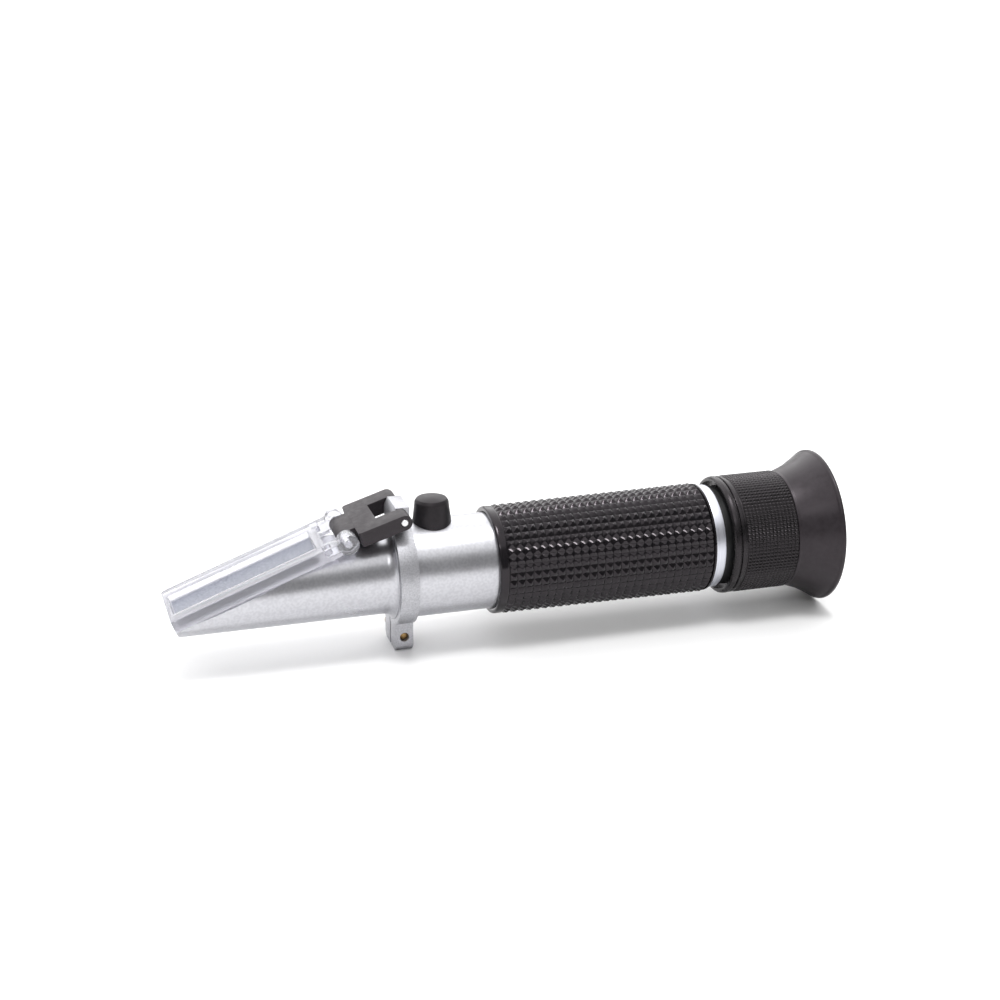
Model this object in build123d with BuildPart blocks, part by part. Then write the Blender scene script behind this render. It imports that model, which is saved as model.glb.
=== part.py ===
from build123d import *
import os
from math import cos, hypot, radians, sin, sqrt

# Handheld refractometer, in millimetres. A tube carries a wedge-cut prism housing at its front, with a
# hinged clear cover plate over the prism, and a focusing eyepiece with a rubber eyecup at its rear.
# +X runs along the optical axis towards the eye and +Z is up. The origin is on the table under the
# middle of the instrument. Stations are measured along the optical axis from the middle of the clamp
# ring, and heights and radii from the optical axis.

os.makedirs("parts", exist_ok=True)

# Clearances
slip = 0.05        # radial, between pieces that turn or slide in one another
seat = 0.02        # between pieces that are screwed, cemented or pressed together
film = 0.15        # for the liquid, between the cover plate and the prism
side_gap = 0.2     # sideways, between the hinge pieces
swing_gap = 0.5    # round the hinge, between what swings and what stays

# Barrel and clamp ring
barrel_r = 13.5
barrel_wall = 1.5
barrel_length = 91.3
clamp_width = 5.2
clamp_band = 1.5
lug_width = 5.0
lug_span = 12.6
lug_chamfer = 1.5
slit = 1.0
clamp_screw_r = 1.25
clamp_screw_depth = 1.0

# Prism housing, cut off by a plane that rises from the toe towards the barrel
housing_r = 11.7
housing_reach = 63.0
toe_drop = 6.7
slope = 20.5
flare_r = 13.3
flare_length = 2.6
flare_land = 0.2
spigot_length = 7.6
light_bore_r = 7.5
prism_width = 12.0
prism_start = 6.4
prism_run = 38.4
prism_floor = 7.0

# Cover plate, along the slope from the toe
cover_width = 22.4
cover_length = 45.4
cover_thickness = 3.4
window_floor = 1.5
window_width = 12.4
front_wall = 1.4
rear_wall = 2.4
ear_r = 2.8
ear_reach = 5.8
ear_pocket = 2.2

# Hinge link and its two pins
pin_r = 1.0
hinge_pin_station = -0.4
hinge_rise = 4.3
block_width = 10.0
block_overhang = 2.1
link_thickness = 4.2
tongue_width = 12.0
fork_depth = 6.4
link_corner = 1.0

# Calibration screw, its bush and its rubber cap, on the top of the barrel
cap_station = 9.8
cap_base_r = 5.4
cap_top_r = 4.7
cap_height = 7.3
cap_dome = 1.5
cap_wall = 1.4
bush_r = 3.0
bush_height = 2.6
adjuster_r = 1.5
adjuster_head_r = 2.4
adjuster_head = 1.3
cell_travel = 0.3

# Objective, shifted up and down inside the barrel
cell_length = 9.4
cell_wall = 2.6
cell_lip = 1.0
crown_thickness = 3.6
crown_sag = 1.2
flint_thickness = 2.4
guide_ring_length = 2.0
guide_ring_band = 2.6

# Baffles and reticle, in the barrel
baffle_stations = (36.0, 60.0)
baffle_thickness = 0.8
baffle_aperture = 8.0
reticle_setback = 7.7    # from the barrel's rear
reticle_thickness = 1.5
reticle_cell_length = 5.0
reticle_lip = 1.2
reticle_band = 2.0

# Grip
bare_length = 22.7
grip_ring_length = 2.7
grip_ring_r = 15.15
grip_front_r = 15.3
grip_rear_r = 15.7

# Collar and eyepiece mount
collar_r = 14.85
collar_length = 3.1
collar_spigot = 3.6
collar_band = 0.95
mount_r = 14.2
mount_wall = 2.0
mount_length = 11.2
mount_face = 1.2
mount_spigot = 3.4
mount_spigot_band = 1.3
key_r = 0.9
key_inset = 7.2          # from the collar's rear

# Focus ring, and the lens tube that it carries to and fro
focus_lead = 8.0
focus_back = 30.0
focus_out = 180.0
ring_gap = 1.9           # from the collar's rear
lip_r = 17.0
lip_round = 1.6
lip_length = 1.7
mouth_r = 15.7
groove_depth = 0.6
groove_width = 0.6
bead_width = 1.2
knurl_r = 17.0
ring_length = 19.7
neck_r = 15.2
neck_length = 4.6
neck_wall = 1.55
web_inset = 11.8         # from the ring's front
web_thickness = 2.0
clip_thickness = 0.8
flange_thickness = 0.95
flange_height = 1.0
tube_wall = 1.65
tube_length = 18.2
lens_lip = 0.9
field_lens_thickness = 3.0
field_lens_sag = 1.3
eye_lens_thickness = 2.6
eye_lens_sag = 1.2
eye_lens_gap = 0.8       # from the web
eye_retainer_length = 1.0

# Eyecup
cup_length = 12.2
cup_neck_r = 16.6
rim_r = 22.0
rim_wall = 1.2

# Places worked out from the sizes above
barrel_front = -clamp_width / 2
barrel_rear = barrel_front + barrel_length
barrel_bore = barrel_r - barrel_wall
spigot_rear = barrel_front + spigot_length
reticle_station = barrel_rear - reticle_setback
collar_rear = barrel_rear + collar_length
key_station = collar_rear + key_inset
ring_front = collar_rear + ring_gap
web_station = ring_front + web_inset
eye_lens_station = web_station + web_thickness + eye_lens_gap
cover_top_reach = housing_reach + cover_thickness * sin(radians(slope))
ring_rear = ring_front + ring_length
cup_rear = ring_rear + cup_length
middle = (cup_rear - cover_top_reach) / 2
axis_height = rim_r

# The side plane holds the optical axis: its local x is the station and its local y the height.
side = Plane(origin=(-middle, 0, axis_height), x_dir=(1, 0, 0), z_dir=(0, -1, 0))
optical_axis = Axis((-middle, 0, axis_height), (1, 0, 0))

# The slope planes start at the toe: one seen from the side, one lying on the slope.
along_slope = (cos(radians(slope)), 0, sin(radians(slope)))
off_slope = (-sin(radians(slope)), 0, cos(radians(slope)))
toe = (-housing_reach - middle, 0, axis_height - toe_drop)
slope_side = Plane(origin=toe, x_dir=along_slope, z_dir=(0, -1, 0))
slope_face = Plane(origin=toe, x_dir=along_slope, z_dir=off_slope)


def on_slope(u, w):
    """Station and height of a point u along the slope from the toe and w above it."""
    station = -housing_reach + u * along_slope[0] + w * off_slope[0]
    return station, -toe_drop + u * along_slope[2] + w * off_slope[2]


hinge_pin_height = barrel_r + hinge_rise
cover_half = cover_width / 2
ear_inner = tongue_width / 2 + side_gap
plate_pin_u = cover_length + ear_reach
plate_pin_w = cover_thickness / 2 + side_gap
plate_pin_station, plate_pin_height = on_slope(plate_pin_u, plate_pin_w)
link_run = hinge_pin_station - plate_pin_station
link_climb = hinge_pin_height - plate_pin_height
link_length = hypot(link_run, link_climb)
link_dir = (link_run / link_length, 0, link_climb / link_length)
plate_pin_point = (plate_pin_station - middle, 0, axis_height + plate_pin_height)
link_side = Plane(origin=plate_pin_point, x_dir=link_dir, z_dir=(0, -1, 0))
link_face = Plane(origin=plate_pin_point, x_dir=link_dir, z_dir=(-link_dir[2], 0, link_dir[0]))


def across(station):
    """Plane square to the optical axis, facing the eye, with its local y upwards."""
    return Plane(origin=(station - middle, 0, axis_height), x_dir=(0, 1, 0), z_dir=(1, 0, 0))


def above(station, height):
    """Level plane over a station of the optical axis."""
    return Plane(origin=(station - middle, 0, axis_height + height))


def crosswise(station, height, y):
    """Plane square to Y through a station and a height, facing +Y, with its local x along the axis."""
    return Plane(origin=(station - middle, y, axis_height + height), x_dir=(1, 0, 0), z_dir=(0, 1, 0))


def keep(piece, name):
    """Label a finished piece and write it."""
    piece.part.label = name
    export_step(piece.part, f"parts/{name}.step")


def keep_ring(name, front, rear, bore, radius):
    """Make and write a plain ring between two stations."""
    with BuildPart() as ring:
        with BuildSketch(across(front)):
            Circle(radius)
            Circle(bore, mode=Mode.SUBTRACT)
        extrude(amount=rear - front)
    keep(ring, name)


def keep_lens(name, front, rear, front_sag, rear_sag, radius):
    """Make and write a lens between two vertices, each sag positive where that side is convex."""
    with BuildPart() as lens:
        with BuildSketch(side):
            with BuildLine():
                front_edge = (front + front_sag, radius)
                rear_edge = (rear - rear_sag, radius)
                if front_sag:
                    TangentArc((front, 0), front_edge, tangent=(0, 1))
                else:
                    Line((front, 0), front_edge)
                Line(front_edge, rear_edge)
                if rear_sag:
                    TangentArc((rear, 0), rear_edge, tangent=(0, 1))
                else:
                    Line((rear, 0), rear_edge)
                Line((rear, 0), (front, 0))
            make_face()
        revolve(axis=optical_axis)
    keep(lens, name)


def sag_at(sag, edge_r, r):
    """Depth at radius r of a lens face that is sag deep at its edge."""
    face_r = (edge_r ** 2 + sag ** 2) / (2 * sag)
    return face_r - sqrt(face_r ** 2 - r ** 2)


# Prism housing: a die-cast body with a slope on top, a pocket for the prism and a bore for the light
nose = housing_reach + 2 * housing_r
flare_end = barrel_front - flare_land
with BuildPart() as prism_housing:
    with BuildSketch(side):
        with BuildLine():
            flare = TangentArc((flare_end - flare_length, housing_r), (flare_end, flare_r), tangent=(1, 0))
            Polyline(
                flare @ 1,
                (barrel_front, flare_r),
                (barrel_front, barrel_bore - seat),
                (spigot_rear, barrel_bore - seat),
                (spigot_rear, 0),
                (-nose, 0),
                (-nose, housing_r),
                flare @ 0,
            )
        make_face()
    revolve(axis=optical_axis)
    with BuildSketch(slope_side):
        with BuildLine():
            Polyline(
                (-nose, -nose),
                (0, -nose),
                (0, -film),
                (nose + housing_reach, -film),
                (nose + housing_reach, nose),
                (-nose, nose),
                close=True,
            )
        make_face()
    extrude(amount=housing_r + flare_r, both=True, mode=Mode.SUBTRACT)
    prism_front, prism_front_height = on_slope(prism_start, -film)
    prism_rear, prism_rear_height = on_slope(prism_start + prism_run, -film)
    with BuildSketch(side):
        with BuildLine():
            Polyline(
                (prism_front - seat, prism_front_height + film),
                (prism_rear + seat, prism_rear_height + film),
                (prism_rear + seat, -prism_floor - seat),
                (prism_front - seat, -prism_floor - seat),
                close=True,
            )
        make_face()
    extrude(amount=prism_width / 2 + seat, both=True, mode=Mode.SUBTRACT)
    with BuildSketch(across(prism_rear)):
        Circle(light_bore_r)
    extrude(amount=spigot_rear - prism_rear, mode=Mode.SUBTRACT)
    with BuildSketch(link_side):
        with Locations((link_length / 2, 0)):
            SlotCenterToCenter(link_length, link_thickness + 2 * swing_gap)
        Circle(ear_r + swing_gap)
    extrude(amount=cover_half + swing_gap, both=True, mode=Mode.SUBTRACT)
keep(prism_housing, "prism_housing")

# Measuring prism: a glass wedge whose top face lies in the slope and whose rear face looks down the barrel
with BuildPart() as measuring_prism:
    with BuildSketch(side):
        with BuildLine():
            Polyline(
                (prism_front, prism_front_height),
                (prism_rear, prism_rear_height),
                (prism_rear, -prism_floor),
                (prism_front, -prism_floor),
                close=True,
            )
        make_face()
    extrude(amount=prism_width / 2, both=True)
keep(measuring_prism, "measuring_prism")

# Barrel: a drawn tube, drilled on top for the calibration bush
with BuildPart() as barrel:
    with BuildSketch(across(barrel_front)):
        Circle(barrel_r)
        Circle(barrel_bore, mode=Mode.SUBTRACT)
    extrude(amount=barrel_length)
    with BuildSketch(above(cap_station, 0)):
        Circle(bush_r + seat)
    extrude(amount=2 * barrel_r, mode=Mode.SUBTRACT)
keep(barrel, "barrel")

# Clamp ring: a split band with the hinge block on top and the screw lug below, which is also a foot
band_r = barrel_r + seat + clamp_band
screw_drop = (band_r + axis_height) / 2 - lug_chamfer / 2
with BuildPart() as clamp_ring:
    with BuildSketch(across(-lug_width / 2)):
        with Locations((0, -(barrel_r + axis_height) / 2)):
            Rectangle(lug_span, axis_height - barrel_r)
    extrude(amount=lug_width)
    foot_edges = clamp_ring.edges().filter_by(Axis.X).group_by(Axis.Z)[0]
    chamfer(foot_edges, lug_chamfer)
    with BuildSketch(side):
        with BuildLine():
            block_front = hinge_pin_station - block_overhang
            block_rear = clamp_width / 2 - (band_r - barrel_r) / 5
            block_top = hinge_pin_height + block_overhang
            Polyline(
                (block_front, barrel_r),
                (block_front, hinge_pin_height),
                (hinge_pin_station - block_overhang / 2, block_top),
                (block_rear, block_top),
                (block_rear, barrel_r),
                close=True,
            )
        make_face()
    extrude(amount=block_width / 2, both=True)
    with BuildSketch(across(-clamp_width / 2)):
        Circle(band_r)
    extrude(amount=clamp_width)
    with BuildSketch(across(-clamp_width / 2)):
        Circle(barrel_r + seat)
        with Locations((0, -axis_height / 2)):
            Rectangle(slit, axis_height)
    extrude(amount=clamp_width, mode=Mode.SUBTRACT)
    with BuildSketch(crosswise(hinge_pin_station, hinge_pin_height, 0)):
        Circle(pin_r + seat)
    extrude(amount=cover_width, both=True, mode=Mode.SUBTRACT)
    with BuildSketch(crosswise(0, -screw_drop, 0)):
        Circle(clamp_screw_r + slip)
    extrude(amount=lug_span, both=True, mode=Mode.SUBTRACT)
keep(clamp_ring, "clamp_ring")

# Clamp screw: its head stands against the far ear, and its tip ends inside the near ear
with BuildPart() as clamp_screw:
    with BuildSketch(crosswise(0, -screw_drop, clamp_screw_depth - lug_span / 2)):
        Circle(clamp_screw_r)
    extrude(amount=lug_span - clamp_screw_depth)
    with BuildSketch(crosswise(0, -screw_drop, lug_span / 2)):
        Circle(2 * clamp_screw_r)
    extrude(amount=clamp_screw_r)
    with BuildSketch(crosswise(0, -screw_drop, lug_span / 2 + clamp_screw_r)):
        Rectangle(4 * clamp_screw_r, clamp_screw_r / 2)
    extrude(amount=-clamp_screw_r / 2, mode=Mode.SUBTRACT)
keep(clamp_screw, "clamp_screw")

# Hinge pin: fixed in the clamp ring's block, flush with the link's prongs at both ends
with BuildPart() as hinge_pin:
    with BuildSketch(crosswise(hinge_pin_station, hinge_pin_height, 0)):
        Circle(pin_r)
    extrude(amount=cover_half, both=True)
keep(hinge_pin, "hinge_pin")

# Plate pin: fixed in the link's tongue, and hidden inside the plate's ears
plate_pin_half = cover_half - pin_r
with BuildPart() as plate_pin:
    with BuildSketch(crosswise(plate_pin_station, plate_pin_height, 0)):
        Circle(pin_r)
    extrude(amount=plate_pin_half, both=True)
keep(plate_pin, "plate_pin")

# Hinge link: a moulded lever with a tongue between the plate's ears and a fork round the hinge block
shoulder = ear_r + swing_gap
with BuildPart() as hinge_link:
    with BuildSketch(link_side):
        with Locations((link_length / 2, 0)):
            SlotCenterToCenter(link_length, link_thickness)
    extrude(amount=cover_half, both=True)
    with BuildSketch(link_face):
        notch = cover_half - tongue_width / 2
        for y in (-1, 1):
            with Locations((0, y * (cover_half - notch / 2))):
                Rectangle(2 * shoulder, notch)
        with Locations((link_length, 0)):
            Rectangle(2 * fork_depth, block_width + 2 * side_gap)
    extrude(amount=link_thickness, both=True, mode=Mode.SUBTRACT)
    upright = hinge_link.edges().filter_by(Axis(plate_pin_point, link_face.z_dir))
    shoulder_edges = upright.sort_by(Axis.Y)[0:1] + upright.sort_by(Axis.Y)[-1:]
    fillet(shoulder_edges, link_corner)
    with BuildSketch(crosswise(plate_pin_station, plate_pin_height, 0)):
        Circle(pin_r + seat)
    extrude(amount=cover_width, both=True, mode=Mode.SUBTRACT)
    with BuildSketch(crosswise(hinge_pin_station, hinge_pin_height, 0)):
        Circle(pin_r + slip)
    extrude(amount=cover_width, both=True, mode=Mode.SUBTRACT)
keep(hinge_link, "hinge_link")

# Daylight plate: clear plastic with a thin window between two rails, and two ears at its rear
ear_width = cover_half - ear_inner
with BuildPart() as daylight_plate:
    with BuildSketch(slope_face):
        with Locations((cover_length / 2, 0)):
            Rectangle(cover_length, cover_width)
    extrude(amount=cover_thickness)
    front_edges = daylight_plate.edges().filter_by(Axis(toe, off_slope)).group_by(Axis.X)[0]
    chamfer(front_edges, window_floor / 2)
    with BuildSketch(slope_side):
        with Locations((plate_pin_u - ear_reach / 2, cover_thickness / 2)):
            Rectangle(ear_reach, cover_thickness)
        with Locations((plate_pin_u, plate_pin_w)):
            Circle(ear_r)
    extrude(amount=cover_half, both=True)
    with BuildSketch(slope_face.offset(-cover_thickness)):
        with Locations((cover_length + cover_width / 2, 0)):
            Rectangle(cover_width, 2 * ear_inner)
    extrude(amount=3 * cover_thickness, mode=Mode.SUBTRACT)
    with BuildSketch(slope_face.offset(window_floor)):
        window_length = cover_length - front_wall - rear_wall
        with Locations((front_wall + window_length / 2, 0)):
            Rectangle(window_length, window_width)
        for y in (-1, 1):
            with Locations((cover_length, y * (ear_inner + ear_width / 2))):
                Rectangle(ear_pocket, ear_pocket)
    extrude(amount=cover_thickness, mode=Mode.SUBTRACT)
    with BuildSketch(crosswise(plate_pin_station, plate_pin_height, 0)):
        Circle(pin_r + slip)
    extrude(amount=plate_pin_half + slip, both=True, mode=Mode.SUBTRACT)
keep(daylight_plate, "daylight_plate")

# Calibration bush: a threaded brass sleeve, pressed through the barrel's wall
cell_r = barrel_bore - 1.4
bush_bottom = cell_r + 2 * cell_travel
bush_top = barrel_r + bush_height
with BuildPart() as calibration_bush:
    with BuildSketch(above(cap_station, bush_bottom)):
        Circle(bush_r)
        Circle(adjuster_r + slip, mode=Mode.SUBTRACT)
    extrude(amount=bush_top - bush_bottom)
keep(calibration_bush, "calibration_bush")

# Calibration screw: slotted head above the bush, tip just clear of the objective cell
with BuildPart() as calibration_screw:
    with BuildSketch(above(cap_station, cell_r + cell_travel + slip)):
        Circle(adjuster_r)
    extrude(amount=bush_top - cell_r - cell_travel)
    with BuildSketch(above(cap_station, bush_top + slip)):
        Circle(adjuster_head_r)
    extrude(amount=adjuster_head)
    with BuildSketch(above(cap_station, bush_top + slip + adjuster_head)):
        Rectangle(2 * adjuster_head_r, adjuster_r / 3)
    extrude(amount=-adjuster_head / 2, mode=Mode.SUBTRACT)
keep(calibration_screw, "calibration_screw")

# Calibration cap: a rubber plug cap, pushed over the bush and cut to the barrel's curve
cap_top = barrel_r + cap_height
cap_shoulder = cap_top - cap_dome
cap_axis = Axis((cap_station - middle, 0, axis_height), (0, 0, 1))
with BuildPart() as calibration_cap:
    with BuildSketch(side):
        with BuildLine():
            dome = TangentArc(
                (cap_station, cap_top),
                (cap_station + cap_top_r - cap_dome / 3, cap_shoulder + cap_dome / 2),
                tangent=(1, 0),
            )
            Polyline(
                dome @ 1,
                (cap_station + cap_top_r, cap_shoulder),
                (cap_station + cap_base_r, barrel_r),
                (cap_station + cap_base_r, 0),
                (cap_station, 0),
                dome @ 0,
            )
        make_face()
    revolve(axis=cap_axis)
    with BuildSketch(above(cap_station, 0)):
        Circle(bush_r + slip)
    extrude(amount=cap_top - cap_wall, mode=Mode.SUBTRACT)
    with BuildSketch(across(cap_station - 2 * cap_base_r)):
        Circle(barrel_r + seat)
    extrude(amount=4 * cap_base_r, mode=Mode.SUBTRACT)
keep(calibration_cap, "calibration_cap")

# Objective cell: a brass mount that slides up and down between the housing's spigot and a guide ring
cell_front = spigot_rear + slip
cell_rear = cell_front + cell_length
cell_bore = cell_r - cell_wall
with BuildPart() as objective_cell:
    with BuildSketch(across(cell_front)):
        Circle(cell_r)
        Circle(cell_bore - cell_lip, mode=Mode.SUBTRACT)
    extrude(amount=cell_length)
    with BuildSketch(across(cell_front + cell_lip)):
        Circle(cell_bore)
    extrude(amount=cell_length, mode=Mode.SUBTRACT)
keep(objective_cell, "objective_cell")

# Objective lenses: a convex crown cemented into a hollow flint, held by a threaded ring
lens_r = cell_bore - seat
crown_front = cell_front + cell_lip + seat - sag_at(crown_sag, lens_r, cell_bore - cell_lip)
crown_rear = crown_front + crown_thickness + crown_sag
flint_rear = crown_rear + flint_thickness
keep_lens("objective_crown", crown_front, crown_rear, crown_sag, crown_sag, lens_r)
keep_lens("objective_flint", crown_rear + seat, flint_rear, -crown_sag, 0, lens_r)
keep_ring("objective_retainer", flint_rear + seat, cell_rear, cell_bore - cell_lip, lens_r)

# Guide ring, baffles and reticle cell, all threaded or pressed into the barrel's bore
bore_fit_r = barrel_bore - seat
guide_front = cell_rear + slip
guide_bore = barrel_bore - guide_ring_band
keep_ring("guide_ring", guide_front, guide_front + guide_ring_length, guide_bore, bore_fit_r)
for name, station in zip(("front_baffle", "rear_baffle"), baffle_stations):
    keep_ring(name, station, station + baffle_thickness, baffle_aperture, bore_fit_r)

reticle_bore = bore_fit_r - reticle_band
reticle_seat = reticle_station + reticle_lip
with BuildPart() as reticle_cell:
    with BuildSketch(across(reticle_station)):
        Circle(bore_fit_r)
        Circle(reticle_bore - reticle_lip, mode=Mode.SUBTRACT)
    extrude(amount=reticle_cell_length)
    with BuildSketch(across(reticle_seat)):
        Circle(reticle_bore)
    extrude(amount=reticle_cell_length, mode=Mode.SUBTRACT)
keep(reticle_cell, "reticle_cell")
reticle_rear = reticle_seat + seat + reticle_thickness
reticle_disc_r = reticle_bore - seat
keep_lens("reticle", reticle_seat + seat, reticle_rear, 0, 0, reticle_disc_r)
retainer_front = reticle_rear + seat
retainer_rear = reticle_station + reticle_cell_length
keep_ring("reticle_retainer", retainer_front, retainer_rear, reticle_bore - reticle_lip, reticle_disc_r)

# Grip: a plain rubber ring and a ribbed rubber sleeve, both stretched over the barrel
grip_ring_front = clamp_width / 2 + bare_length
grip_front = grip_ring_front + grip_ring_length
with BuildPart() as grip_front_ring:
    with BuildSketch(across(grip_ring_front)):
        Circle(grip_ring_r)
        Circle(barrel_r + seat, mode=Mode.SUBTRACT)
    extrude(amount=grip_ring_length)
    outer_edge = grip_front_ring.edges().group_by(Axis.X)[0].sort_by(SortBy.RADIUS)[-1]
    fillet(outer_edge, (grip_ring_r - barrel_r) / 2)
keep(grip_front_ring, "grip_front_ring")

with BuildPart() as grip_sleeve:
    with BuildSketch(side):
        with BuildLine():
            Polyline(
                (grip_front, barrel_r + seat),
                (grip_front, grip_front_r),
                (barrel_rear, grip_rear_r),
                (barrel_rear, barrel_r + seat),
                close=True,
            )
        make_face()
    revolve(axis=optical_axis)
keep(grip_sleeve, "grip_sleeve")

# Rear collar: an aluminium band with a spigot in the barrel
collar_bore = bore_fit_r - collar_band
with BuildPart() as rear_collar:
    with BuildSketch(across(barrel_rear)):
        Circle(collar_r)
    extrude(amount=collar_length)
    with BuildSketch(across(barrel_rear)):
        Circle(bore_fit_r)
    extrude(amount=-collar_spigot / 2)
    with BuildSketch(across(barrel_rear - collar_spigot)):
        Circle(collar_bore)
    extrude(amount=collar_spigot + collar_length, mode=Mode.SUBTRACT)
keep(rear_collar, "rear_collar")

# Eyepiece mount: a black tube screwed into the collar, bored for the lens tube
mount_bore = mount_r - mount_wall
mount_rear = collar_rear + mount_length
mount_spigot_r = collar_bore - seat
with BuildPart() as eyepiece_mount:
    with BuildSketch(across(collar_rear)):
        Circle(mount_r)
    extrude(amount=mount_length)
    with BuildSketch(across(collar_rear)):
        Circle(mount_spigot_r)
    extrude(amount=-mount_spigot)
    with BuildSketch(across(collar_rear - mount_spigot)):
        Circle(mount_spigot_r - mount_spigot_band)
    extrude(amount=mount_spigot + mount_length, mode=Mode.SUBTRACT)
    with BuildSketch(across(collar_rear + mount_face)):
        Circle(mount_bore)
    extrude(amount=mount_length, mode=Mode.SUBTRACT)
    with BuildSketch(above(key_station, -mount_r - key_r)):
        Circle(key_r + seat)
    extrude(amount=mount_wall + 2 * key_r, mode=Mode.SUBTRACT)
keep(eyepiece_mount, "eyepiece_mount")

# Guide pin: stops the lens tube from turning, so that it can only slide
tube_r = mount_bore - slip
tube_bore = tube_r - tube_wall
with BuildPart() as guide_pin:
    with BuildSketch(above(key_station, slip * 4 - mount_r)):
        Circle(key_r)
    extrude(amount=mount_r - slip * 8 - tube_bore)
keep(guide_pin, "guide_pin")

# Lens tube: slides in the mount, slotted over the guide pin, with a flange behind the focus ring's web
back_travel = focus_lead * focus_back / 360
out_travel = focus_lead * focus_out / 360
tube_rear = web_station + web_thickness + slip + flange_thickness + 3.5
tube_front = tube_rear - tube_length
slot_rear = key_station + back_travel + key_r + side_gap
lens_seat = slot_rear + lens_lip
flange_front = web_station + web_thickness + slip
clip_front = web_station - slip - clip_thickness
clip_groove_r = tube_r - tube_wall / 3
with BuildPart() as lens_tube:
    with BuildSketch(across(tube_front)):
        Circle(tube_r)
    extrude(amount=tube_length)
    with BuildSketch(across(flange_front)):
        Circle(tube_r + flange_height)
    extrude(amount=flange_thickness)
    with BuildSketch(across(tube_front)):
        Circle(tube_bore - lens_lip)
    extrude(amount=tube_length, mode=Mode.SUBTRACT)
    with BuildSketch(across(tube_front)):
        Circle(tube_bore)
    extrude(amount=slot_rear - tube_front, mode=Mode.SUBTRACT)
    with BuildSketch(across(lens_seat)):
        Circle(tube_bore)
    extrude(amount=tube_length, mode=Mode.SUBTRACT)
    with BuildSketch(above(tube_front, -tube_r)):
        with Locations(((slot_rear - tube_front) / 2, 0)):
            Rectangle(slot_rear - tube_front, 2 * (key_r + slip))
    extrude(amount=2 * tube_wall, both=True, mode=Mode.SUBTRACT)
    with BuildSketch(across(clip_front - slip)):
        Circle(tube_r + flange_height)
        Circle(clip_groove_r, mode=Mode.SUBTRACT)
    extrude(amount=clip_thickness + 2 * slip, mode=Mode.SUBTRACT)
keep(lens_tube, "lens_tube")

# Eyepiece lenses: field lens, spacer, eye lens and threaded ring, stacked in the lens tube from the rear
lens_fit_r = tube_bore - seat
field_front = lens_seat + seat
field_rear = field_front + field_lens_thickness
eye_rear = eye_lens_station + eye_lens_thickness
spacer_bore = tube_bore - lens_lip
spacer_front = field_rear - sag_at(field_lens_sag, lens_fit_r, spacer_bore) + seat
spacer_rear = eye_lens_station + sag_at(eye_lens_sag, lens_fit_r, spacer_bore) - seat
keep_lens("field_lens", field_front, field_rear, 0, field_lens_sag, lens_fit_r)
keep_ring("lens_spacer", spacer_front, spacer_rear, spacer_bore, lens_fit_r)
keep_lens("eye_lens", eye_lens_station, eye_rear, eye_lens_sag, 0, lens_fit_r)
eye_retainer_front = eye_rear + seat
eye_retainer_rear = eye_retainer_front + eye_retainer_length
keep_ring("eye_lens_retainer", eye_retainer_front, eye_retainer_rear, tube_bore - 2 * lens_lip, lens_fit_r)

# Focus ring: turns on the mount's thread, and its web carries the lens tube
bead_front = ring_front + lip_length + groove_width
knurl_front = bead_front + bead_width + groove_width
ring_bore = mount_r + slip
with BuildPart() as focus_ring:
    with BuildSketch(side):
        with BuildLine():
            Polyline(
                (ring_front, mouth_r),
                (ring_front, lip_r),
                (ring_front + lip_length, lip_r),
                (ring_front + lip_length, lip_r - groove_depth),
                (bead_front, lip_r - groove_depth),
                (bead_front, lip_r),
                (bead_front + bead_width, lip_r),
                (bead_front + bead_width, lip_r - groove_depth),
                (knurl_front, lip_r - groove_depth),
                (knurl_front, knurl_r),
                (ring_rear, knurl_r),
                (ring_rear, neck_r),
                (ring_rear + neck_length, neck_r),
                (ring_rear + neck_length, neck_r - neck_wall),
                (web_station + web_thickness, neck_r - neck_wall),
                (web_station + web_thickness, tube_r + slip),
                (web_station, tube_r + slip),
                (web_station, ring_bore),
                (ring_front + lip_length, ring_bore),
                (ring_front + lip_length, mouth_r),
                close=True,
            )
        make_face()
    revolve(axis=optical_axis)
    lip_edge = focus_ring.edges().group_by(Axis.X)[0].sort_by(SortBy.RADIUS)[-1]
    lip_width = lip_r - mouth_r
    fillet(lip_edge, min(lip_round, 0.9 * lip_width))
keep(focus_ring, "focus_ring")

# Focus clip: an open spring ring in the lens tube's groove, in front of the web
with BuildPart() as focus_clip:
    with BuildSketch(across(clip_front)):
        Circle(tube_r + flange_height)
        Circle(clip_groove_r + seat, mode=Mode.SUBTRACT)
        with Locations((0, tube_r)):
            Rectangle(tube_wall * 2, tube_r, mode=Mode.SUBTRACT)
    extrude(amount=clip_thickness)
keep(focus_clip, "focus_clip")

# Eyecup: soft rubber, pushed over the focus ring's neck and flared to the rim
cup_seat = neck_r + seat
with BuildPart() as eyecup:
    with BuildSketch(side):
        with BuildLine():
            outer_lip = (cup_rear - rim_wall, rim_r)
            Polyline(
                outer_lip,
                (cup_rear, rim_r - rim_wall / 3),
                (cup_rear, rim_r - rim_wall),
                (ring_rear + neck_length, cup_seat),
                (ring_rear + seat, cup_seat),
                (ring_rear + seat, cup_neck_r),
                outer_lip,
            )
        make_face()
    revolve(axis=optical_axis)
keep(eyecup, "eyecup")
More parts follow.
